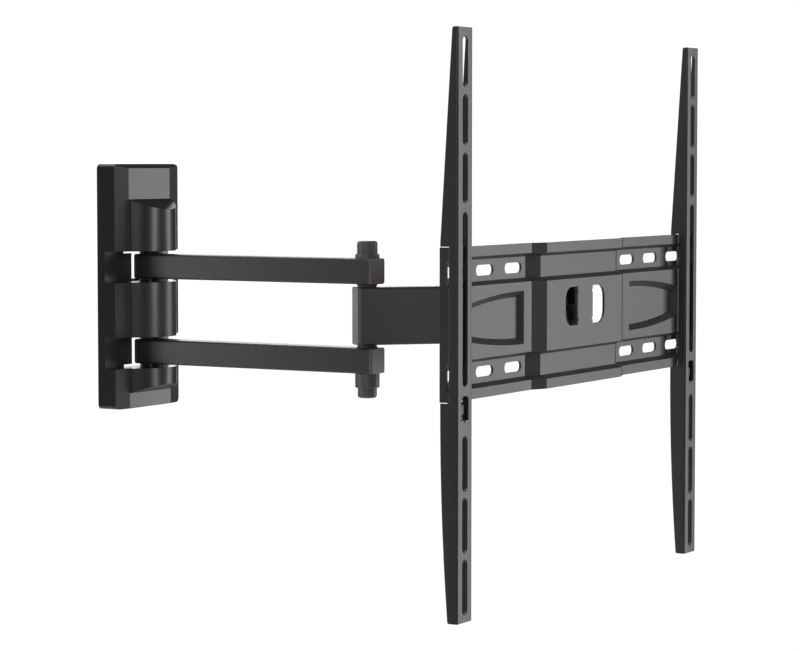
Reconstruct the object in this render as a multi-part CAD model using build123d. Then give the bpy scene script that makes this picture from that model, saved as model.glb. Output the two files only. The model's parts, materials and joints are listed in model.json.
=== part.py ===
"""Full motion wall mount for a television: wall plate, double arm, single arm, tilting head, VESA rails.

Frame: millimetres, +Z up, the wall is the plane Y = 0 and the mount reaches towards -Y.
The origin lies on the wall face, under the wall pivot, at the mid height of the arms.
"""
from build123d import *
import math
import os

# ---- arms: heights, axes and reach ------------------------------------------------------------
TUBE = 20.0                 # square tube of the double arm
TUBE_WALL = 2.0
TUBE_CORNER = 2.0
TUBE_MID_Z = 34.8           # mid height of the upper tube; the lower one mirrors it
CAP_THICK = 2.5             # visible plate of a tube's end cap
WALL_AXIS_Y = -21.4
ARM_1_LENGTH = 206.0        # wall axis to elbow axis
ELBOW_Y = WALL_AXIS_Y - ARM_1_LENGTH
ARM_2_LENGTH = 143.6        # elbow axis to head axis
ARM_2_ANGLE = 46.0          # degrees from -Y towards +X
ARM_2_WIDTH = 18.0
ARM_2_HEIGHT = 45.0
HEAD_X = ARM_2_LENGTH * math.sin(math.radians(ARM_2_ANGLE))
HEAD_Y = ELBOW_Y - ARM_2_LENGTH * math.cos(math.radians(ARM_2_ANGLE))
TUBE_LOW = TUBE_MID_Z - TUBE / 2
TUBE_HIGH = TUBE_MID_Z + TUBE / 2

# ---- wall plate and hinge brackets --------------------------------------------------------------
PLATE_T = 2.5               # steel thickness on the wall
WALL_HALF_W = 38.0
WALL_LOW, WALL_HIGH = -73.0, 109.0
WALL_HOLE_R = 4.25
WALL_HOLE_X = 26.0
WALL_HOLES_Z = (-62.0, 98.0)
WINDOW_HALF_W = 15.0
EAR_T = 3.0
EAR_R = 12.5
EARS_Z = (19.2, 47.6)       # undersides of the two ears of the upper bracket
PIN_R = 6.0
RUN = 0.05                  # radial running clearance of a pin in its bush
GAP = 0.1                   # face to face clearance between stacked moving pieces

# ---- wall cover -----------------------------------------------------------------------------------
COVER_HALF_W = 44.0
COVER_LOW, COVER_HIGH = -80.0, 118.0
COVER_SIDE = 17.5           # depth of the side walls
COVER_FRONT = 20.3          # depth of the front panel
PANEL_HALF_W = 28.5
SHELL = 2.0
HOOD_R = 30.7
HOOD_Y = -9.0
SLOT_LOW, SLOT_HIGH = 22.3, 47.4
SLOT_BACK = -7.5            # the slots reach back to this depth
INNER_WALL_T = 1.6

# ---- elbow -----------------------------------------------------------------------------------------
ELBOW_PIN_R = 5.0
COLLAR_R, COLLAR_T = 9.6, 3.4
TOP_CAP_R, TOP_CAP_H = 8.1, 10.2
HOUSING_R, HOUSING_H = 9.6, 11.2
LOW_CAP_R, LOW_CAP_H = 7.5, 8.0

# ---- head and tilt ----------------------------------------------------------------------------------
YOKE_HALF_W = 12.3
YOKE_T = 2.8
YOKE_WEB_Y = HEAD_Y - 17.4  # front face of the yoke's web
TILT_Y = HEAD_Y - 25.0
TILT_PIN_R = 4.0

# ---- mounting plate -----------------------------------------------------------------------------------
RAIL_FACE_Y = HEAD_Y - 40.3
SHEET = 2.0
LIP_Y = RAIL_FACE_Y + 8.0   # front face of the wings' raised bands
RELIEF = 5.6                # depth of the slotted bands behind the raised ones
STEP = 6.0                  # how far the middle section stands in front of the wings
VESA_Z = 2.25               # mid height of the plate
VESA_HALF_W = 210.0
STEP_OUT, STEP_IN = 80.6, 66.4
HALF_H = 56.0
LIP_Z, BAND_OUT_Z, BAND_IN_Z, PANEL_Z = 48.3, 45.75, 29.55, 26.85
WING_SLOT_X = (100.0, 145.0, 190.0)
WING_SLOT_Z = 37.5
WING_SLOT_SIZE = (27.0, 8.0)
POCKET_DEPTH = 4.0
HOLE_INNER_X, HOLE_OUTER_X, HOLE_HALF_H = 13.3, 34.4, 15.0
HOLE_Z, HOLE_CORNER = 7.5, 10.0

# ---- rails --------------------------------------------------------------------------------------------------
RAIL_SPACING = 400.0
RAIL_W = 22.5
RAIL_Z = 1.0
RAIL_HALF_H = 215.0
RAIL_TOP_DEPTH, RAIL_MID_DEPTH, RAIL_LOW_DEPTH = 4.6, 14.3, 8.2
NOTCH_FRONT_Y = LIP_Y - 0.9
NOTCH_LOW, NOTCH_HIGH = VESA_Z - HALF_H - 0.5, VESA_Z + HALF_H + 0.5
RAIL_SLOT_W = 8.0
SHORT_SLOT, LOWER_SLOT = 36.6, 40.5
RAIL_SLOTS = (              # mid height and length of each slot
    (191.4, SHORT_SLOT), (149.7, SHORT_SLOT), (108.0, SHORT_SLOT), (20.8, 126.0),
    (-98.3, LOWER_SLOT), (-143.2, LOWER_SLOT), (-188.2, LOWER_SLOT),
)
LATCH_WINDOW = (11.0, -66.8, -49.2)
LATCH_TRAVEL = 6.0


def block(x0, x1, y0, y1, z0, z1):
    """Box between two corners."""
    return Pos((x0 + x1) / 2, (y0 + y1) / 2, (z0 + z1) / 2) * Box(x1 - x0, y1 - y0, z1 - z0)


def post(x, y, z0, z1, r):
    """Vertical cylinder."""
    return Pos(x, y, (z0 + z1) / 2) * Cylinder(r, z1 - z0)


def rod_x(x0, x1, y, z, r):
    """Cylinder along X."""
    return Pos((x0 + x1) / 2, y, z) * Rot(0, 90, 0) * Cylinder(r, x1 - x0)


def rod_y(x, y0, y1, z, r):
    """Cylinder along Y."""
    return Pos(x, (y0 + y1) / 2, z) * Rot(90, 0, 0) * Cylinder(r, y1 - y0)


def hexagon(x, y, z0, z1, flats):
    """Vertical hexagonal prism, given across its flats."""
    prism = extrude(RegularPolygon(flats / math.sqrt(3), 6), z1 - z0)
    return Pos(x, y, z0) * prism


def plan(points, z0, z1):
    """Prism of a plan outline (x, y)."""
    face = make_face(Polyline(*points, close=True))
    return Pos(0, 0, z0) * extrude(face, z1 - z0)


def side_face(x, points):
    """Face in the plane X = x from (y, z) points."""
    return make_face(Polyline(*[(x, y, z) for y, z in points], close=True))


def side(points, x0, x1):
    """Prism of a side outline (y, z) along X."""
    return extrude(side_face(x0, points), x1 - x0, dir=(1, 0, 0))


def front_slot(x, z, width, height, y0, y1):
    """Obround cutter through Y, long along its larger side."""
    r = min(width, height) / 2
    half_x, half_z = width / 2 - r, height / 2 - r
    cut = rod_y(x - half_x, y0, y1, z - half_z, r) + rod_y(x + half_x, y0, y1, z + half_z, r)
    if half_x > half_z:
        return cut + block(x - half_x, x + half_x, y0, y1, z - r, z + r)
    return cut + block(x - r, x + r, y0, y1, z - half_z, z + half_z)


def mirrored_z(shape):
    """The shape mirrored in the plane Z = 0."""
    return mirror(shape, Plane.XY)


def group(*solids):
    """Separate solids kept together in one node."""
    return Compound(children=[s for shape in solids for s in shape.solids()])


def save(node, shape):
    """Write one node's STEP file."""
    export_step(shape, os.path.join("parts", node + ".step"))


# ---- wall side ------------------------------------------------------------------------------------
def wall_plate():
    """Flat steel plate with screw holes and a window behind each tube's end."""
    plate = block(-WALL_HALF_W, WALL_HALF_W, -PLATE_T, 0, WALL_LOW, WALL_HIGH)
    plate = fillet(plate.edges().filter_by(Axis.Y), 6.0)
    for z in WALL_HOLES_Z:
        for x in (-WALL_HOLE_X, 0, WALL_HOLE_X):
            plate -= rod_y(x, -PLATE_T - 1, 1, z, WALL_HOLE_R)
    low, high = EARS_Z[0] + 5.0, EARS_Z[1] + EAR_T
    window = block(-WINDOW_HALF_W, WINDOW_HALF_W, -PLATE_T - 1, 1, low, high)
    return plate - window - mirrored_z(window)


def hinge_bracket():
    """Pair of ears on an open back web, welded to the wall plate around one tube's end."""
    front, back = -PLATE_T - 2.4, -PLATE_T
    low, high = EARS_Z[0], EARS_Z[1] + EAR_T
    web = block(-19.0, 19.0, front, back, low, high)
    web -= block(-WINDOW_HALF_W, WINDOW_HALF_W, front - 1, back + 1, low + EAR_T, EARS_Z[1])
    bracket = web
    for z in EARS_Z:
        ear = block(-EAR_R, EAR_R, WALL_AXIS_Y, back, z, z + EAR_T)
        ear += post(0, WALL_AXIS_Y, z, z + EAR_T, EAR_R)
        bracket += ear
    return bracket - post(0, WALL_AXIS_Y, low - 1, high + 1, PIN_R)


def cover_base(inset, low, high):
    """Plan outline of the cover without its hoods, drawn in by inset."""
    w, p = COVER_HALF_W - inset, PANEL_HALF_W - inset * 0.35
    s, f = COVER_SIDE - inset * 0.9, COVER_FRONT - inset
    back = 0 if inset == 0 else 1.0
    points = [(-w, back), (-w, -s), (-p, -f), (p, -f), (w, -s), (w, back)]
    return plan(points, low, high)


def hood(inset, low, high):
    """Round bulge over a hinge, as wide as the front panel."""
    half = PANEL_HALF_W - inset
    drum = post(0, HOOD_Y, low, high, HOOD_R - inset)
    return drum & block(-half, half, HOOD_Y - HOOD_R, -10.0, low, high)


def slant(y_high, z_high, y_low, z_low, above):
    """Cutter on one side of a plane that slopes from the panel to the hood's front."""
    slope = (z_high - z_low) / (y_high - y_low)
    y0, y1 = -60.0, 0.0
    z0, z1 = z_low + slope * (y0 - y_low), z_low + slope * (y1 - y_low)
    far = 200.0 if above else -200.0
    return side([(y0, z0), (y1, z1), (y1, far), (y0, far)], -60.0, 60.0)


def hood_cutters(inset):
    """Slanted cuts over the upper hood and under the lower one."""
    front = HOOD_Y - HOOD_R
    upper = slant(-COVER_FRONT, 89.5 - inset, front, 81.2 - inset, True)
    lower = slant(-COVER_FRONT, -67.5 + inset, front, -61.0 + inset, False)
    return upper, lower


def wall_cover():
    """Plastic shell with three round hoods and two slots for the tubes."""
    upper_cut, lower_cut = hood_cutters(0)
    body = cover_base(0, COVER_LOW, COVER_HIGH)
    body = fillet(body.edges().filter_by(Axis.Y), 4.0)
    top_edge = side([(-COVER_FRONT - 1, COVER_HIGH - 4.3), (-COVER_FRONT - 1, COVER_HIGH + 1),
                     (-COVER_SIDE + 2.5, COVER_HIGH + 1)], -60.0, 60.0)
    body -= top_edge
    body += hood(0, SLOT_HIGH, 100.0) - upper_cut
    body += hood(0, -SLOT_LOW, SLOT_LOW)
    body += hood(0, -75.0, -SLOT_HIGH) - lower_cut
    upper_in, lower_in = hood_cutters(SHELL)
    above, below = SLOT_HIGH + SHELL, SLOT_LOW - SHELL
    body -= cover_base(SHELL, above, COVER_HIGH - 4.5)
    body -= cover_base(SHELL + 1.5, above, COVER_HIGH - SHELL)
    body -= cover_base(SHELL, -below, below)
    body -= cover_base(SHELL, COVER_LOW + SHELL, -above)
    body -= hood(SHELL, above, 100.0) - upper_in
    body -= hood(SHELL, -below, below)
    body -= hood(SHELL, -75.0, -above) - lower_in
    return body - slots_of_cover(above, below)


def slots_of_cover(above, below):
    """Everything cut out around the two tubes: slots, windows and ear openings."""
    wall_back = SLOT_BACK + INNER_WALL_T
    cut = block(-60.0, 60.0, -60.0, SLOT_BACK, SLOT_LOW, SLOT_HIGH)
    cut += block(-COVER_HALF_W + SHELL, COVER_HALF_W - SHELL, wall_back, 1.0, below - 0.1, above + 0.1)
    cut += block(-7.7, 7.7, SLOT_BACK - 1, 1.0, SLOT_LOW, SLOT_HIGH)
    cut += block(-22.0, 22.0, SLOT_BACK - 1, 1.0, 45.4, SLOT_HIGH)
    opening = EAR_R + 0.8
    for low, high in ((below - 1, SLOT_LOW + 0.1), (SLOT_HIGH - 0.1, above + 1)):
        cut += post(0, WALL_AXIS_Y, low, high, opening)
        cut += block(-opening, opening, WALL_AXIS_Y, 1.0, low, high)
    return cut + mirrored_z(cut)


def wall_pin():
    """Hex head pin through the four ears, threaded end up."""
    head_top = -EARS_Z[1] - EAR_T
    return hexagon(0, WALL_AXIS_Y, head_top - 6.0, head_top, 18.0) + post(
        0, WALL_AXIS_Y, head_top, -head_top + 11.0, PIN_R)


def nut(x, y, z0, height, flats, bore):
    """Hex nut on a vertical axis."""
    return hexagon(x, y, z0, z0 + height, flats) - post(x, y, z0 - 1, z0 + height + 1, bore)


def thrust_ring(x, y, z0, z1, r_in, r_out, turn):
    """Thin plastic ring with two raised arcs that keep a moving gap open."""
    base = 0.7
    ring = post(x, y, z0, z1, r_out) - post(x, y, z0 - 1, z1 + 1, r_in)
    gate = Location((x, y, 0), (0, 0, turn)) * Box(r_out * 3, r_in * 1.3, 400)
    inner = post(x, y, z0 + base, z1 + 1, r_out - 1.4)
    return ring - inner - (gate & block(x - 20, x + 20, y - 20, y + 20, z0 + base, z1 + 1))


# ---- double arm -----------------------------------------------------------------------------------
def square_tube(y_start, y_end, width, height, wall, corner):
    """Hollow tube along Y with rounded long edges, centred on X = 0, Z = 0."""
    outer = block(-width / 2, width / 2, y_end, y_start, -height / 2, height / 2)
    outer = fillet(outer.edges().filter_by(Axis.Y), corner)
    inner = block(-width / 2 + wall, width / 2 - wall, y_end - 1, y_start + 1,
                  -height / 2 + wall, height / 2 - wall)
    return outer - inner


def end_cap(y_plug, y_face, width, height, wall, corner):
    """Plastic cap: a visible plate and a hollow plug that sits inside the tube."""
    way = 1 if y_face > y_plug else -1
    seat = y_face - way * CAP_THICK
    low, high = min(seat, y_face), max(seat, y_face)
    plate = block(-width / 2, width / 2, low, high, -height / 2, height / 2)
    plate = fillet(plate.edges().filter_by(Axis.Y), corner)
    plate = fillet(plate.faces().sort_by(Axis.Y)[-1 if way > 0 else 0].edges(), 0.6)
    w, h = width / 2 - wall - 0.05, height / 2 - wall - 0.05
    low, high = min(seat, y_plug), max(seat, y_plug)
    plug = block(-w, w, low, high, -h, h)
    rib = 1.5
    hollow = block(-w + rib, w - rib, low - (0 if way > 0 else -1), high + (0 if way > 0 else 1) - 1,
                   -h + rib, h - rib)
    return plate + (plug - hollow)


def upper_tube():
    """Upper tube of the double arm, drilled for the wall pin's bush and for the elbow pin."""
    start, end = WALL_AXIS_Y + TUBE / 2 - CAP_THICK, ELBOW_Y - TUBE / 2 + CAP_THICK
    tube = Pos(0, 0, TUBE_MID_Z) * square_tube(start, end, TUBE, TUBE, TUBE_WALL, TUBE_CORNER)
    tube -= post(0, WALL_AXIS_Y, TUBE_LOW - 1, TUBE_HIGH + 1, PIN_R + 1.2)
    return tube - post(0, ELBOW_Y, TUBE_LOW - 1, TUBE_HIGH + 1, ELBOW_PIN_R)


def wall_end_cap():
    """Cap on the upper tube's wall end, which lies just behind the wall axis."""
    face = WALL_AXIS_Y + TUBE / 2
    cap = Pos(0, 0, TUBE_MID_Z) * end_cap(face - CAP_THICK - 1.4, face, TUBE, TUBE, TUBE_WALL, TUBE_CORNER)
    return cap - post(0, WALL_AXIS_Y, TUBE_LOW, TUBE_HIGH, PIN_R + 1.25)


def elbow_end_cap():
    """Cap on the upper tube's elbow end."""
    face = ELBOW_Y - TUBE / 2
    cap = end_cap(face + CAP_THICK + 1.8, face, TUBE, TUBE, TUBE_WALL, TUBE_CORNER)
    return Pos(0, 0, TUBE_MID_Z) * cap


def wall_bush():
    """Plain bush pressed through the upper tube, with the wall pin running in it."""
    bush = post(0, WALL_AXIS_Y, TUBE_LOW, TUBE_HIGH, PIN_R + 1.2)
    return bush - post(0, WALL_AXIS_Y, TUBE_LOW - 1, TUBE_HIGH + 1, PIN_R + RUN)


def wall_rings():
    """Thrust rings above and below the upper tube at the wall."""
    under = EARS_Z[0] + EAR_T + GAP
    r_in, r_out = PIN_R + 0.3, 9.4
    above = thrust_ring(0, WALL_AXIS_Y, TUBE_HIGH, EARS_Z[1] - GAP, r_in, r_out, 30.0)
    below = mirrored_z(thrust_ring(0, WALL_AXIS_Y, -TUBE_LOW, -under, r_in, r_out, 30.0))
    return above, below


# ---- elbow -----------------------------------------------------------------------------------------
def elbow_pin():
    """Shoulder bolt of the elbow: round head on top, thread below."""
    top = TUBE_HIGH + COLLAR_T
    pin = post(0, ELBOW_Y, -TUBE_HIGH, top, ELBOW_PIN_R) + post(0, ELBOW_Y, top, top + 6.5, 6.4)
    pin += post(0, ELBOW_Y, -TUBE_HIGH - 8.6, -TUBE_HIGH, 3.9)
    return pin - hexagon(0, ELBOW_Y, top + 2.5, top + 7.0, 5.0)


def domed(r, z0, z1, edge):
    """Cylinder on the elbow axis with its top edge rounded."""
    drum = post(0, ELBOW_Y, z0, z1, r)
    return fillet(drum.faces().sort_by(Axis.Z)[-1].edges(), edge)


def elbow_top_cap():
    """Domed plastic cap over the elbow bolt's head."""
    low = TUBE_HIGH + COLLAR_T
    return domed(TOP_CAP_R, low, low + TOP_CAP_H, 2.2) - post(0, ELBOW_Y, low - 1, low + 7.4, 6.6)


def elbow_collar():
    """Plastic collar between the upper tube and the elbow's cap."""
    collar = domed(COLLAR_R, TUBE_HIGH, TUBE_HIGH + COLLAR_T, 0.8)
    return collar - post(0, ELBOW_Y, TUBE_HIGH - 1, TUBE_HIGH + COLLAR_T + 1, ELBOW_PIN_R)


def elbow_housing():
    """Plastic cup under the lower tube that hides the elbow's nut."""
    high = TUBE_HIGH
    cup = domed(HOUSING_R, high, high + HOUSING_H, 1.0)
    return mirrored_z(cup - post(0, ELBOW_Y, high - 1, high + HOUSING_H - 1.8, 7.9))


def elbow_low_cap():
    """Small domed cap under the housing."""
    low = TUBE_HIGH + HOUSING_H
    cap = domed(LOW_CAP_R, low, low + LOW_CAP_H, 2.0)
    return mirrored_z(cap - post(0, ELBOW_Y, low - 1, low + LOW_CAP_H - 2.0, 5.6))


def elbow_rings():
    """Thrust rings between the single arm and the two tubes."""
    low, high = ARM_2_HEIGHT / 2 + GAP, TUBE_LOW
    ring = mirrored_z(thrust_ring(0, ELBOW_Y, -high, -low, ELBOW_PIN_R + 0.3, 8.2, 120.0))
    return ring, mirrored_z(ring)


# ---- single arm -------------------------------------------------------------------------------------
ARM_2_PLACE = Location((0, ELBOW_Y, 0), (0, 0, ARM_2_ANGLE))
ARM_2_END = 9.9             # how far the tube runs past each of its axes


def arm_2_tube():
    """Tall tube between elbow and head, drilled for its two bushes."""
    start, end = ARM_2_END - CAP_THICK, -ARM_2_LENGTH - ARM_2_END + CAP_THICK
    tube = square_tube(start, end, ARM_2_WIDTH, ARM_2_HEIGHT, TUBE_WALL, TUBE_CORNER)
    for y in (0, -ARM_2_LENGTH):
        tube -= post(0, y, -30.0, 30.0, ELBOW_PIN_R + 1.2)
    return ARM_2_PLACE * tube


def arm_2_caps():
    """Plastic caps on the two ends of the single arm, elbow end first."""
    caps = []
    for face, way in ((ARM_2_END, -1), (-ARM_2_LENGTH - ARM_2_END, 1)):
        cap = end_cap(face + way * (CAP_THICK + 1.1), face, ARM_2_WIDTH, ARM_2_HEIGHT,
                      TUBE_WALL, TUBE_CORNER)
        caps.append(ARM_2_PLACE * cap)
    return caps


def arm_2_bush(y):
    """Bush through the single arm at one of its axes."""
    half = ARM_2_HEIGHT / 2
    bush = post(0, y, -half, half, ELBOW_PIN_R + 1.2) - post(0, y, -half - 1, half + 1, ELBOW_PIN_R + RUN)
    return ARM_2_PLACE * bush


# ---- head -------------------------------------------------------------------------------------------
def head_yoke():
    """Bent steel yoke around the arm's end, with two cheeks in front for the tilt bolt."""
    low = ARM_2_HEIGHT / 2 + 1.3
    high = low + YOKE_T
    yoke = block(-YOKE_HALF_W, YOKE_HALF_W, YOKE_WEB_Y, YOKE_WEB_Y + YOKE_T, -high, high)
    for z in (-high, low):
        ear = block(-YOKE_HALF_W, YOKE_HALF_W, YOKE_WEB_Y, HEAD_Y, z, z + YOKE_T)
        yoke += ear + post(0, HEAD_Y, z, z + YOKE_T, YOKE_HALF_W)
    yoke -= post(0, HEAD_Y, -40.0, 40.0, ELBOW_PIN_R)
    for x in (-YOKE_HALF_W, YOKE_HALF_W - 2.5):
        cheek = side([(YOKE_WEB_Y, -high), (YOKE_WEB_Y, high), (YOKE_WEB_Y - 5.5, high), (TILT_Y, 16.0),
                      (TILT_Y - 5.0, 5.0), (TILT_Y - 5.0, -5.0), (TILT_Y, -16.0), (YOKE_WEB_Y - 5.5, -high)],
                     x, x + 2.5)
        yoke += cheek + rod_x(x, x + 2.5, TILT_Y, 0, 7.0)
    return Pos(HEAD_X, 0, 0) * (yoke - rod_x(-20.0, 20.0, TILT_Y, 0, TILT_PIN_R))


def head_pin():
    """Button head bolt through the yoke and the arm's end."""
    top = ARM_2_HEIGHT / 2 + 1.3 + YOKE_T
    head = post(HEAD_X, HEAD_Y, top, top + 4.5, 8.5)
    head = fillet(head.faces().sort_by(Axis.Z)[-1].edges(), 2.5)
    head -= hexagon(HEAD_X, HEAD_Y, top + 1.5, top + 5.0, 5.0)
    return head + post(HEAD_X, HEAD_Y, -top - 7.5, top, ELBOW_PIN_R)


def head_rings():
    """Thrust washers between the arm's end and the yoke's ears."""
    low = ARM_2_HEIGHT / 2 + GAP
    ring = post(HEAD_X, HEAD_Y, low, low + 1.2, 8.5) - post(HEAD_X, HEAD_Y, low - 1, low + 2, ELBOW_PIN_R + 0.3)
    return ring, mirrored_z(ring)


def tilt_bracket():
    """Folded bracket behind the plate's middle, with two cheeks inside the yoke's."""
    back = LIP_Y - STEP + SHEET
    base = block(-9.6, 9.6, back, back + 2.5, -21.0, 25.5)
    bracket = base
    for x in (-9.6, 7.1):
        cheek = block(x, x + 2.5, back, TILT_Y, -8.0, 8.0) + rod_x(x, x + 2.5, TILT_Y, 0, 6.8)
        cheek -= block(x - 1, x + 3.5, TILT_Y - 0.01, TILT_Y + 9.0, 6.9, 9.0)
        bracket += cheek - block(x - 1, x + 3.5, TILT_Y, TILT_Y + 9.0, -9.0, -6.9)
    return Pos(HEAD_X, 0, 0) * (bracket - rod_x(-20.0, 20.0, TILT_Y, 0, TILT_PIN_R + RUN))


def tilt_bolt():
    """Bolt that carries the tilting plate, with a hex head on its left."""
    head = Pos(HEAD_X - YOKE_HALF_W - 1.3, TILT_Y, 0) * Rot(0, -90, 0) * extrude(
        RegularPolygon(13.0 / math.sqrt(3), 6), 4.5)
    return head + rod_x(HEAD_X - YOKE_HALF_W - 1.3, HEAD_X + YOKE_HALF_W + 8.0, TILT_Y, 0, TILT_PIN_R)


def tilt_nut():
    """Lock nut on the tilt bolt."""
    start = HEAD_X + YOKE_HALF_W + 1.3
    body = Pos(start, TILT_Y, 0) * Rot(0, 90, 0) * extrude(RegularPolygon(13.0 / math.sqrt(3), 6), 5.5)
    return body - rod_x(start - 1, start + 7.0, TILT_Y, 0, TILT_PIN_R)


def tilt_washers():
    """Steel washers under the tilt bolt's head and nut."""
    washers = []
    for x in (HEAD_X - YOKE_HALF_W - 1.3, HEAD_X + YOKE_HALF_W):
        washers.append(rod_x(x, x + 1.3, TILT_Y, 0, 8.0) - rod_x(x - 1, x + 3, TILT_Y, 0, TILT_PIN_R))
    return washers


def tilt_spacer():
    """Plastic tube on the tilt bolt that keeps the cheeks apart."""
    spacer = rod_x(HEAD_X - 7.0, HEAD_X + 7.0, TILT_Y, 0, 6.0)
    return spacer - rod_x(HEAD_X - 8.0, HEAD_X + 8.0, TILT_Y, 0, TILT_PIN_R + RUN)


# ---- mounting plate -----------------------------------------------------------------------------------
def mitred(points, distance):
    """The open line moved sideways by distance, with mitred corners."""
    moved = []
    last = len(points) - 1
    for i, (y, z) in enumerate(points):
        before, after = points[max(i - 1, 0)], points[min(i + 1, last)]
        turns = []
        for a, b in ((before, (y, z)), ((y, z), after)):
            length = math.hypot(b[0] - a[0], b[1] - a[1])
            if length > 0:
                turns.append(((b[1] - a[1]) / length, -(b[0] - a[0]) / length))
        ny = sum(n[0] for n in turns) / len(turns)
        nz = sum(n[1] for n in turns) / len(turns)
        scale = distance / (ny * ny + nz * nz)
        moved.append((y + ny * scale, z + nz * scale))
    return moved


def plate_section(x, forward):
    """Cross section of the pressed plate at X = x, moved forward by a distance."""
    lip, band = LIP_Y - forward, LIP_Y + RELIEF - forward
    half = [(lip, HALF_H), (lip, LIP_Z), (band, BAND_OUT_Z), (band, BAND_IN_Z), (lip, PANEL_Z)]
    front = [(y, -z) for y, z in half] + [(y, z) for y, z in reversed(half)]
    outline = front + list(reversed(mitred(front, SHEET)))
    return side_face(x, [(y, z + VESA_Z) for y, z in outline])


def pocket_face(y, grow, side_sign):
    """Tapered pocket outline on a wing, in the plane Y = y, grown by a distance."""
    near, mid, far = 93.0 - grow, 140.0, 188.0 + grow
    z_near, z_mid, z_far = 20.2 + grow, 18.4 + grow, 12.6 + grow
    a, b = (side_sign * near, y, z_near), (side_sign * far, y, z_far)
    c, d = (side_sign * far, y, -z_far), (side_sign * near, y, -z_near)
    edges = [ThreePointArc(a, (side_sign * mid, y, z_mid), b), Line(b, c),
             ThreePointArc(c, (side_sign * mid, y, -z_mid), d), Line(d, a)]
    return Pos(0, 0, VESA_Z) * make_face(edges)


def pocket(side_sign, depth, grow):
    """Pressed pocket of a wing as a solid, from the raised face backwards."""
    slope = 4.6 / POCKET_DEPTH
    front = pocket_face(LIP_Y - 0.5, grow + 0.5 * slope, side_sign)
    floor = pocket_face(LIP_Y + depth, grow - depth * slope, side_sign)
    return loft([front, floor], ruled=True)


def d_hole(side_sign):
    """D shaped opening with its flat side inwards, and two small notches in that side."""
    x_in, x_out = side_sign * HOLE_INNER_X, side_sign * HOLE_OUTER_X
    y0, y1 = LIP_Y - STEP - 1, LIP_Y
    hole = block(min(x_in, x_out), max(x_in, x_out), y0, y1, -HOLE_HALF_H, HOLE_HALF_H)
    upright = hole.edges().filter_by(Axis.Y)
    outer = upright.sort_by(lambda e: -abs(e.center().X))[:2]
    hole = fillet(outer, HOLE_CORNER)
    for z_notch in (-11.0, 11.0):
        hole += block(x_in - 1.2, x_in + 1.2, y0, y1, z_notch - 1.0, z_notch + 1.0)
    return Pos(0, 0, HOLE_Z) * hole


def vesa_plate():
    """Pressed steel plate that carries the rails."""
    stations = [(-VESA_HALF_W, 0), (-STEP_OUT, 0), (-STEP_IN, STEP), (STEP_IN, STEP), (STEP_OUT, 0),
                (VESA_HALF_W, 0)]
    plate = None
    for (x0, f0), (x1, f1) in zip(stations, stations[1:]):
        length = loft([plate_section(x0, f0), plate_section(x1, f1)], ruled=True)
        plate = length if plate is None else plate + length
    for side_sign in (-1, 1):
        x0, x1 = sorted((side_sign * VESA_HALF_W, side_sign * (VESA_HALF_W - SHEET)))
        plate += block(x0, x1, LIP_Y + SHEET - 0.2, LIP_Y + RELIEF + SHEET, VESA_Z - HALF_H, VESA_Z + HALF_H)
        tray = pocket(side_sign, POCKET_DEPTH + SHEET, 1.6) & block(-300, 300, LIP_Y + 0.5, LIP_Y + 20, -60, 60)
        plate += tray
        plate -= pocket(side_sign, POCKET_DEPTH, 0)
        plate -= d_hole(side_sign)
        for x in WING_SLOT_X:
            for z in (-WING_SLOT_Z, WING_SLOT_Z):
                plate -= front_slot(side_sign * x, VESA_Z + z, *WING_SLOT_SIZE,
                                    LIP_Y, LIP_Y + RELIEF + SHEET + 1)
    return Pos(HEAD_X, 0, 0) * plate


# ---- rails --------------------------------------------------------------------------------------------
def rail_profile():
    """Side view of a rail: straight taper above the plate, curved taper below."""
    top, low = RAIL_Z + RAIL_HALF_H, RAIL_Z - RAIL_HALF_H
    back = RAIL_FACE_Y + RAIL_MID_DEPTH
    face = RAIL_FACE_Y
    a, b = (0, face, low), (0, face, top)
    c, d = (0, face + RAIL_TOP_DEPTH, top), (0, back, NOTCH_HIGH + 3.0)
    e, f = (0, back, NOTCH_LOW), (0, face + RAIL_LOW_DEPTH, low)
    bulge = (0, face + 12.3, -148.0)
    edges = [Line(a, b), Line(b, c), Line(c, d), Line(d, e), ThreePointArc(e, bulge, f), Line(f, a)]
    return make_face(edges)


def rail(x, inner):
    """U channel with screw slots, open to the back, notched to hang on the plate by its inner flange."""
    half = RAIL_W / 2
    body = extrude(Pos(-half, 0, 0) * rail_profile(), RAIL_W, dir=(1, 0, 0))
    across = body.edges().filter_by(Axis.X).sort_by(Axis.Z)
    body = fillet([across[-2:].sort_by(Axis.Y)[-1], across[:2].sort_by(Axis.Y)[-1]], 1.5)
    long_edges = body.edges().filter_by(Axis.Z).filter_by_position(Axis.Y, RAIL_FACE_Y - 0.1, RAIL_FACE_Y + 0.1)
    body = fillet(long_edges, 1.6)
    body -= block(-half + SHEET, half - SHEET, RAIL_FACE_Y + SHEET, RAIL_FACE_Y + 40, -300, 300)
    notch = block(-half - 1, half + 1, NOTCH_FRONT_Y, RAIL_FACE_Y + 40, NOTCH_LOW, NOTCH_HIGH)
    tooth_low, tooth_y = NOTCH_HIGH - 5.5, LIP_Y + SHEET + 0.3
    x0, x1 = sorted((0, inner * (half + 1)))
    body -= notch - block(x0, x1, tooth_y, RAIL_FACE_Y + 40, tooth_low, NOTCH_HIGH + 1)
    for z, length in RAIL_SLOTS:
        body -= front_slot(0, z, RAIL_SLOT_W, length, RAIL_FACE_Y - 1, RAIL_FACE_Y + 5)
    width, low, high = LATCH_WINDOW
    window = block(-width / 2, width / 2, RAIL_FACE_Y - 1, RAIL_FACE_Y + 5, low, high)
    window = fillet(window.edges().filter_by(Axis.Y).sort_by(Axis.Z)[-2:], 3.0)
    body -= window + block(-0.9, 0.9, RAIL_FACE_Y - 1, RAIL_FACE_Y + 5, low - 1.6, low + 1)
    return Pos(x, 0, 0) * body


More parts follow.
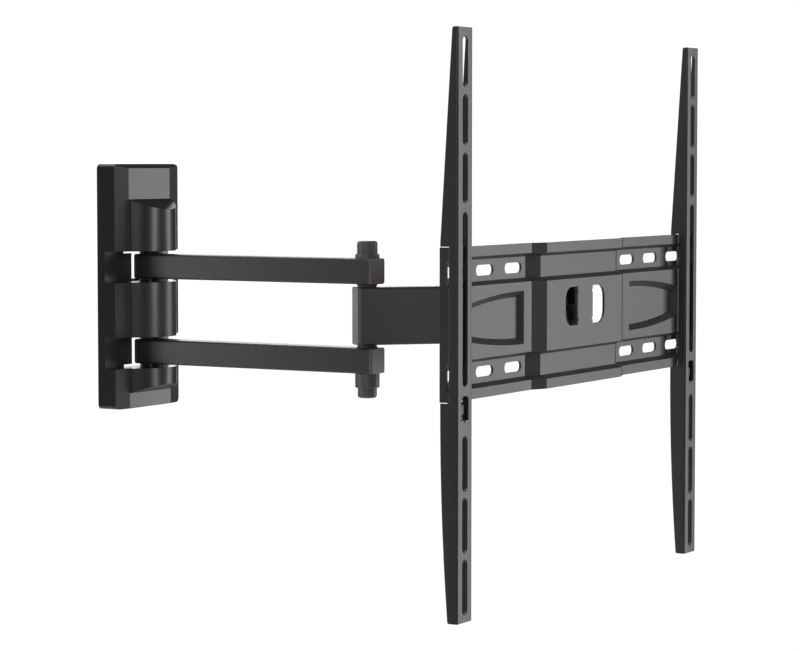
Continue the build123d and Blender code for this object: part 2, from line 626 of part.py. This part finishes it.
LATCH_FRONT = RAIL_FACE_Y + SHEET + 0.3
LATCH_T = 2.2
LATCH_SEAT = 5.2            # depth of the two faces that the spring stands between
LATCH_LOW, LATCH_HIGH = -77.9, NOTCH_LOW - 1.2
GUIDE_LOW, GUIDE_HIGH = -75.4, -73.0
SPRING_TOP = -62.5
SPRING_WIRE, SPRING_R, SPRING_TURNS = 0.35, 2.2, 6


def latch(x):
    """Sliding latch behind the rail's window; its tooth holds the plate's lower edge from behind."""
    front = block(-6.9, 6.9, LATCH_FRONT, LATCH_FRONT + LATCH_T, LATCH_LOW, LATCH_HIGH)
    front -= block(-3.4, 3.4, LATCH_FRONT - 1, LATCH_FRONT + 5, GUIDE_LOW - GAP, SPRING_TOP)
    tooth_y = LIP_Y + SHEET + 0.3
    arm = block(-3.4, 3.4, LATCH_FRONT, tooth_y + 2.4, SPRING_TOP, LATCH_HIGH)
    tooth = block(-3.4, 3.4, tooth_y, tooth_y + 2.4, SPRING_TOP, -50.6)
    tail = block(-6.9, -4.9, LATCH_FRONT, RAIL_FACE_Y + RAIL_MID_DEPTH + 1.3, -66.0, -63.6)
    return Pos(x, 0, 0) * (front + arm + tooth + tail)


def latch_guide(x):
    """Headed lug on the rail's web that guides the latch and carries its spring."""
    lug = block(-3.0, 3.0, RAIL_FACE_Y + SHEET, LATCH_FRONT + LATCH_SEAT, GUIDE_LOW, GUIDE_HIGH)
    behind = LATCH_FRONT + LATCH_T + 0.2
    head = block(-5.2, 5.2, behind, behind + 1.2, GUIDE_LOW, GUIDE_HIGH)
    return Pos(x, 0, 0) * (lug + head)


def latch_spring(x):
    """Compression spring between the lug and the latch."""
    height = SPRING_TOP - GUIDE_HIGH - 2 * SPRING_WIRE
    path = Helix(height / SPRING_TURNS, height, SPRING_R)
    start = Plane(path @ 0, z_dir=path % 0)
    coil = sweep(start * Circle(SPRING_WIRE), path)
    y = RAIL_FACE_Y + SHEET + SPRING_R + SPRING_WIRE + 0.1
    return Pos(x, y, GUIDE_HIGH + SPRING_WIRE) * coil


def build():
    """Write every node."""
    os.makedirs("parts", exist_ok=True)
    save("wall_plate", wall_plate())
    bracket = hinge_bracket()
    save("upper_hinge_bracket", bracket)
    save("lower_hinge_bracket", mirrored_z(bracket))
    save("wall_cover", wall_cover())
    save("wall_pivot_pin", wall_pin())
    save("wall_pivot_nut", nut(0, WALL_AXIS_Y, EARS_Z[1] + EAR_T, 8.0, 18.0, PIN_R))

    pieces = {"tube": upper_tube(), "wall_end_cap": wall_end_cap(), "elbow_end_cap": elbow_end_cap(),
              "wall_bush": wall_bush()}
    for name, piece in pieces.items():
        save("upper_" + name, piece)
        save("lower_" + name, mirrored_z(piece))
    above, below = wall_rings()
    save("wall_thrust_rings", group(above, below, mirrored_z(above), mirrored_z(below)))

    save("elbow_pin", elbow_pin())
    save("elbow_nut", nut(0, ELBOW_Y, -TUBE_HIGH - 6.5, 6.5, 13.0, 3.9))
    save("elbow_collar", elbow_collar())
    save("elbow_top_cap", elbow_top_cap())
    save("elbow_nut_housing", elbow_housing())
    save("elbow_bottom_cap", elbow_low_cap())
    save("elbow_thrust_rings", group(*elbow_rings()))

    save("outer_arm_tube", arm_2_tube())
    elbow_cap, head_cap = arm_2_caps()
    save("outer_arm_elbow_cap", elbow_cap)
    save("outer_arm_head_cap", head_cap)
    save("outer_arm_elbow_bush", arm_2_bush(0))
    save("outer_arm_head_bush", arm_2_bush(-ARM_2_LENGTH))

    save("head_yoke", head_yoke())
    save("head_pin", head_pin())
    save("head_nut", nut(HEAD_X, HEAD_Y, -ARM_2_HEIGHT / 2 - 1.3 - YOKE_T - 6.0, 6.0, 16.0, ELBOW_PIN_R))
    save("head_thrust_washers", group(*head_rings()))
    save("tilt_bolt", tilt_bolt())
    save("tilt_nut", tilt_nut())
    save("tilt_washers", group(*tilt_washers()))

    save("tilt_bracket", tilt_bracket())
    save("tilt_spacer", tilt_spacer())
    save("vesa_plate", vesa_plate())
    for name, way in (("left", -1), ("right", 1)):
        x = HEAD_X + way * RAIL_SPACING / 2
        save(name + "_rail", rail(x, -way))
        save(name + "_latch", latch(x))
        save(name + "_latch_guide", latch_guide(x))
        save(name + "_latch_spring", latch_spring(x))


build()
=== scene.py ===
"""Looks of the full motion television wall mount: bevelled pieces, finishes, studio light and camera."""
import json
import math

import bmesh
import bpy
from mathutils import Euler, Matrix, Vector

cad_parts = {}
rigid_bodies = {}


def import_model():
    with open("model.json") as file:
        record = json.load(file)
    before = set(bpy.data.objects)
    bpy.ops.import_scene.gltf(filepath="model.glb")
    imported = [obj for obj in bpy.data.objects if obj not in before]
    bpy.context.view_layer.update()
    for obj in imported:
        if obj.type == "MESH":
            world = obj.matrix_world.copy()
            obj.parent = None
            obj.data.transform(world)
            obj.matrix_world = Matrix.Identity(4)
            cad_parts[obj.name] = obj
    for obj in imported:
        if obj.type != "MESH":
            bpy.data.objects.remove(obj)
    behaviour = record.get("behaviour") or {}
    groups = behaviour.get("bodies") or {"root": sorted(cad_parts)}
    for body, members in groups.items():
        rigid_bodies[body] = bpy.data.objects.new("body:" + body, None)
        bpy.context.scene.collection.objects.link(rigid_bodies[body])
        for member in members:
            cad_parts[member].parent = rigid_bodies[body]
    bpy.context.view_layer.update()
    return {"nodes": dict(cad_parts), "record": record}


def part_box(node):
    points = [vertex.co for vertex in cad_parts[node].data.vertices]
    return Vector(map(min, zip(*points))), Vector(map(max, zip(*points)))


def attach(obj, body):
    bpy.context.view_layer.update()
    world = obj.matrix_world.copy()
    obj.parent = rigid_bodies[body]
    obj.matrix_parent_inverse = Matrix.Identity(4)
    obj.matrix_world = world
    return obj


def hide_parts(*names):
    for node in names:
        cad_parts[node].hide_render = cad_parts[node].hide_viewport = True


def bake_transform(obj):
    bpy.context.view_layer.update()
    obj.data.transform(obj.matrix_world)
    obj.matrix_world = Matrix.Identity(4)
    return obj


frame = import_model()

NODES = frame["nodes"]
RECORD = frame["record"]
BODY_OF = {node: body for body, nodes in RECORD["behaviour"]["bodies"].items() for node in nodes}
SLOT_OF = {part["node"]: part["material_slot"] for part in RECORD["subparts"]}


# ---- materials ------------------------------------------------------------------------------------
class Finish:
    """A node-based material with one Principled shader."""

    def __init__(self, name):
        self.material = bpy.data.materials.new(name)
        self.material.use_nodes = True
        self.nodes = self.material.node_tree.nodes
        self.shader = self.nodes["Principled BSDF"]
        self.where = self.add("ShaderNodeTexCoord").outputs["Object"]

    def add(self, kind, **inputs):
        node = self.nodes.new(kind)
        for name, value in inputs.items():
            node.inputs[name.replace("_", " ")].default_value = value
        return node

    def join(self, source, target):
        self.material.node_tree.links.new(source, target)

    def noise(self, scale, detail=2.0, stretch=None):
        """Noise in object space; scale is in features per metre, stretch scales the axes."""
        node = self.add("ShaderNodeTexNoise", Scale=scale, Detail=detail)
        where = self.where
        if stretch:
            mapping = self.add("ShaderNodeMapping", Scale=stretch)
            self.join(where, mapping.inputs["Vector"])
            where = mapping.outputs["Vector"]
        self.join(where, node.inputs["Vector"])
        return node.outputs["Fac"]

    def ramp(self, fac, low, high, start=0.3, end=0.7):
        """Maps a 0..1 value onto a range between two numbers or colours."""
        colour = not isinstance(low, float)
        node = self.add("ShaderNodeMix" if colour else "ShaderNodeMapRange")
        if colour:
            node.data_type = "RGBA"
            node.inputs["A"].default_value = (*low, 1)
            node.inputs["B"].default_value = (*high, 1)
            self.join(fac, node.inputs["Factor"])
            return node.outputs["Result"]
        for name, value in (("From Min", start), ("From Max", end), ("To Min", low), ("To Max", high)):
            node.inputs[name].default_value = value
        self.join(fac, node.inputs["Value"])
        return node.outputs["Result"]

    def bump(self, height, depth, strength=1.0, below=None):
        """Bump whose full height range is depth metres."""
        node = self.add("ShaderNodeBump", Strength=strength, Distance=depth)
        self.join(height, node.inputs["Height"])
        if below:
            self.join(below, node.inputs["Normal"])
        return node.outputs["Normal"]

    def set(self, **inputs):
        for name, value in inputs.items():
            socket = self.shader.inputs[name.replace("_", " ")]
            if isinstance(value, bpy.types.NodeSocket):
                self.join(value, socket)
            else:
                socket.default_value = value
        return self


def powder_coat():
    """Satin black polyester powder: fine orange peel, faint dust-like speckle, slightly worn gloss."""
    f = Finish("powder_coat")
    peel = f.noise(900.0, 1.5)
    grain = f.noise(3800.0, 2.0)
    cloud = f.noise(14.0, 3.0)
    normal = f.bump(peel, 0.00003, 0.55)
    normal = f.bump(grain, 0.000012, 0.5, normal)
    return f.set(Base_Color=f.ramp(cloud, (0.030, 0.029, 0.030), (0.037, 0.036, 0.037)),
                 Roughness=f.ramp(grain, 0.34, 0.42), Normal=normal, Specular_IOR_Level=0.5)


def cover_plastic():
    """Satin black ABS with a very fine moulded grain."""
    f = Finish("cover_plastic")
    grain = f.noise(2600.0, 3.0)
    cloud = f.noise(9.0, 2.0)
    return f.set(Base_Color=f.ramp(cloud, (0.018, 0.018, 0.018), (0.023, 0.023, 0.023)),
                 Roughness=f.ramp(cloud, 0.27, 0.33), Normal=f.bump(grain, 0.000012, 0.5))


def cap_plastic():
    """Dark brown-grey moulded caps with faint turning marks."""
    f = Finish("cap_plastic")
    rings = f.noise(1400.0, 2.0, (0.06, 0.06, 1.0))
    grain = f.noise(3000.0, 2.0)
    normal = f.bump(rings, 0.00002, 0.5)
    return f.set(Base_Color=f.ramp(grain, (0.088, 0.080, 0.075), (0.105, 0.096, 0.090)),
                 Roughness=f.ramp(grain, 0.34, 0.46), Normal=f.bump(grain, 0.00001, 0.5, normal))


def bush_plastic():
    """Plain dark acetal."""
    f = Finish("bush_plastic")
    grain = f.noise(1800.0, 2.0)
    return f.set(Base_Color=f.ramp(grain, (0.028, 0.028, 0.028), (0.036, 0.036, 0.036)),
                 Roughness=f.ramp(grain, 0.38, 0.5), Normal=f.bump(grain, 0.00001, 0.5))


def steel(name, dark, light, rough, stretch):
    """Metal with fine drawn lines along one direction and slightly cloudy plating."""
    f = Finish(name)
    lines = f.noise(2500.0, 3.0, stretch)
    cloud = f.noise(220.0, 3.0)
    return f.set(Base_Color=f.ramp(cloud, dark, light), Metallic=1.0,
                 Roughness=f.ramp(cloud, rough, rough + 0.12), Normal=f.bump(lines, 0.000015, 0.5))


FINISHES = {
    "powder_coat": powder_coat(),
    "cover_plastic": cover_plastic(),
    "cap_plastic": cap_plastic(),
    "bush_plastic": bush_plastic(),
    "plated_steel": steel("plated_steel", (0.48, 0.48, 0.46), (0.60, 0.60, 0.57), 0.28, (1.0, 1.0, 0.05)),
    "black_steel": steel("black_steel", (0.050, 0.050, 0.052), (0.075, 0.075, 0.078), 0.36, (1.0, 1.0, 0.05)),
    "spring_steel": steel("spring_steel", (0.42, 0.42, 0.42), (0.52, 0.52, 0.52), 0.22, (0.05, 1.0, 1.0)),
}


# ---- pieces -----------------------------------------------------------------------------------------
SHARP = math.radians(30.0)          # between any two faces
SHARP_FLAT = math.radians(7.0)      # between two large faces of a pressing or moulding
LARGE = 4e-5                        # square metres
COPLANAR = math.radians(0.6)        # below this, two faces are one
SAME_POINT = 2e-6                   # metres


def is_sharp(edge, flat):
    """Whether an edge is a real corner, not a step of a tessellated curve."""
    if len(edge.link_faces) != 2:
        return True
    angle = edge.calc_face_angle(0.0)
    if angle > SHARP:
        return True
    return flat and angle > SHARP_FLAT and min(f.calc_area() for f in edge.link_faces) > LARGE


def finish(piece, node):
    """Gives a piece the finish of a node's material slot."""
    piece.data.materials.clear()
    piece.data.materials.append(FINISHES[SLOT_OF[node]].material)


def rounded(node, width, flat=False):
    """A copy of a CAD node with its corners broken, in place of the node."""
    mesh = NODES[node].data.copy()
    work = bmesh.new()
    work.from_mesh(mesh)
    bmesh.ops.remove_doubles(work, verts=work.verts, dist=SAME_POINT)
    bmesh.ops.dissolve_limit(work, angle_limit=COPLANAR, verts=work.verts, edges=work.edges)
    weight = work.edges.layers.float.new("bevel_weight_edge")
    for edge in work.edges:
        corner = is_sharp(edge, flat)
        edge.smooth = not corner
        edge[weight] = 1.0 if corner else 0.0
    for face in work.faces:
        face.smooth = True
    work.to_mesh(mesh)
    work.free()
    piece = bpy.data.objects.new(node + "_finished", mesh)
    bpy.context.scene.collection.objects.link(piece)
    bevel = piece.modifiers.new("edges", "BEVEL")
    bevel.width = width
    bevel.segments = 2
    bevel.limit_method = "WEIGHT"
    bevel.harden_normals = True
    bevel.use_clamp_overlap = True
    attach(piece, BODY_OF[node])
    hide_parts(node)
    finish(piece, node)


def sprung(side):
    """The latch's coil spring, which stands on the rail's lug: a copy of its CAD node, in place of the node.
    """
    node = side + "_latch_spring"
    piece = bpy.data.objects.new(node + "_coil", NODES[node].data.copy())
    bpy.context.scene.collection.objects.link(piece)
    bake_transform(piece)
    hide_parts(node)
    finish(piece, node)


EDGE = {                            # width of each broken edge, metres
    "wall_cover": 0.0007,
    "wall_plate": 0.0004, "upper_hinge_bracket": 0.0004, "lower_hinge_bracket": 0.0004,
    "upper_tube": 0.0003, "lower_tube": 0.0003, "outer_arm_tube": 0.0003,
    "vesa_plate": 0.00045, "left_rail": 0.0004, "right_rail": 0.0004,
    "head_yoke": 0.0004, "tilt_bracket": 0.0004, "left_latch": 0.0003, "right_latch": 0.0003,
    "wall_pivot_pin": 0.0005, "wall_pivot_nut": 0.0005, "head_nut": 0.0005, "tilt_nut": 0.0004,
    "tilt_bolt": 0.0005, "elbow_nut": 0.0004,
}
FLAT = ("wall_cover", "vesa_plate", "left_rail", "right_rail")
for name, node in NODES.items():
    if name in EDGE:
        rounded(name, EDGE[name], name in FLAT)
    elif name.endswith("latch_spring"):
        sprung(name.split("_")[0])
    else:
        finish(node, name)


# ---- floor, light and camera ----------------------------------------------------------------------------
def floor():
    """Plain pale floor under the mount, which fades out into the backdrop."""
    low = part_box("left_rail")[0].z - FLOOR_DROP
    work = bmesh.new()
    bmesh.ops.create_circle(work, cap_ends=True, segments=96, radius=FLOOR_RADIUS)
    mesh = bpy.data.meshes.new("floor")
    work.to_mesh(mesh)
    work.free()
    piece = bpy.data.objects.new("floor", mesh)
    piece.location = (MIDDLE[0], MIDDLE[1], low)
    bpy.context.scene.collection.objects.link(piece)
    f = Finish("floor")
    cloud = f.noise(0.8, 2.0)
    away = f.add("ShaderNodeVectorMath")
    away.operation = "LENGTH"
    f.join(f.where, away.inputs[0])
    fade = f.ramp(away.outputs["Value"], 1.0, 0.0, *FLOOR_FADE)
    f.set(Base_Color=f.ramp(cloud, (0.80, 0.80, 0.80), (0.83, 0.83, 0.83)), Roughness=0.8, Alpha=fade,
          Emission_Color=(1.0, 1.0, 1.0, 1.0), Emission_Strength=0.25)
    mesh.materials.append(f.material)


def world():
    """White backdrop that lights the object only softly."""
    sky = bpy.data.worlds.new("studio")
    bpy.context.scene.world = sky
    sky.use_nodes = True
    nodes, links = sky.node_tree.nodes, sky.node_tree.links
    soft = nodes["Background"]
    soft.inputs["Color"].default_value = (1.0, 1.0, 1.0, 1.0)
    soft.inputs["Strength"].default_value = SKY_LIGHT
    white = nodes.new("ShaderNodeBackground")
    white.inputs["Color"].default_value = (1.0, 1.0, 1.0, 1.0)
    white.inputs["Strength"].default_value = SKY_SEEN
    rays = nodes.new("ShaderNodeLightPath")
    mix = nodes.new("ShaderNodeMixShader")
    links.new(rays.outputs["Is Camera Ray"], mix.inputs["Fac"])
    links.new(soft.outputs["Background"], mix.inputs[1])
    links.new(white.outputs["Background"], mix.inputs[2])
    links.new(mix.outputs["Shader"], nodes["World Output"].inputs["Surface"])


def group(name, pieces, state):
    """Collection that says which pieces a light reaches (INCLUDE) or leaves out (EXCLUDE)."""
    lit = bpy.data.collections.new(name)
    for piece in pieces:
        lit.objects.link(piece)
    for member in lit.collection_objects:
        member.light_linking.link_state = state
    return lit


def softbox(name, place, target, size, power, skips=(), only=()):
    """Rectangular area light that faces a point, leaves out some pieces or lights only some pieces."""
    light = bpy.data.lights.new(name, "AREA")
    light.shape = "RECTANGLE"
    light.size, light.size_y = size
    light.energy = power
    piece = bpy.data.objects.new(name, light)
    piece.location = place
    piece.rotation_euler = (Vector(target) - Vector(place)).to_track_quat("-Z", "Y").to_euler()
    piece.visible_camera = False
    bpy.context.scene.collection.objects.link(piece)
    if skips:
        piece.light_linking.receiver_collection = group(name + "_skips", skips, "EXCLUDE")
    if only:
        lit = group(name + "_only", only, "INCLUDE")
        piece.light_linking.receiver_collection = lit
        piece.light_linking.blocker_collection = lit


def camera():
    """Long lens from the left of the mount, slightly above its middle."""
    lens = bpy.data.cameras.new("camera")
    lens.sensor_width = 36.0
    lens.lens = FOCAL_LENGTH
    lens.clip_end = 60.0
    piece = bpy.data.objects.new("camera", lens)
    piece.location = CAMERA_PLACE
    piece.rotation_euler = Euler((math.pi / 2 - CAMERA_PITCH, 0.0, CAMERA_HEADING - math.pi / 2))
    bpy.context.scene.collection.objects.link(piece)
    bpy.context.scene.camera = piece


MIDDLE = (0.05, -0.25, 0.0)         # point that the lights face
FLOOR_DROP = 0.6                    # below the rails' lower ends
FLOOR_RADIUS = 2.3
FLOOR_FADE = (FLOOR_RADIUS * 0.45, FLOOR_RADIUS * 0.98)
SKY_LIGHT, SKY_SEEN = 0.05, 1.05    # strength of the backdrop as a light and as the camera sees it
FOCAL_LENGTH = 118.36               # millimetres
CAMERA_PLACE = (-1.7544, -1.2780, 0.1188)
CAMERA_HEADING, CAMERA_PITCH = math.radians(30.2), math.radians(3.536)
COVER = [bpy.data.objects["wall_cover_finished"]]
PLATE = [bpy.data.objects["vesa_plate_finished"]]
SINGLE_ARM = [piece for piece in bpy.data.objects if piece.name.startswith("outer_arm")]
HINGE_LINE = (0.0, -0.05, 0.0)      # in front of the wall pivot

floor()
world()
# Place, point faced, width and height in metres, power in watts.
softbox("front_light", (2.75, -2.35, -0.1), MIDDLE, (1.3, 2.6), 45.0)
softbox("top_light", (0.0, 0.75, 2.0), MIDDLE, (1.6, 1.2), 20.0)
softbox("camera_side_light", (-2.0, -1.05, 0.75), MIDDLE, (1.3, 1.5), 12.0)
softbox("fill_light", (-2.7, 1.25, 0.2), MIDDLE, (2.4, 2.8), 3.0)
softbox("back_light", (0.5, 2.9, 0.7), MIDDLE, (2.2, 2.0), 40.0)
softbox("right_light", (2.4, 1.7, 0.5), MIDDLE, (1.4, 2.0), 24.0)
softbox("middle_light", (0.05, -3.0, 0.9), MIDDLE, (1.3, 1.0), 9.0)
# Light for one piece each, where other pieces stand in the way of the larger lights.
softbox("plate_light", (0.1, -1.5, 1.9), MIDDLE, (1.0, 0.8), 12.0, only=PLATE)
softbox("hood_light", (-0.08, -1.50, 0.1), HINGE_LINE, (0.36, 0.9), 6.0, only=COVER)
softbox("single_arm_light", (-0.35, -1.25, 0.1), (0.18, -0.2, 0.0), (0.9, 0.9), 2.0, only=SINGLE_ARM)
softbox("arm_light", (-0.50, 0.35, 0.0), HINGE_LINE, (0.20, 0.8), 1.3, skips=COVER)
camera()
bpy.context.scene.view_settings.view_transform = "Standard"
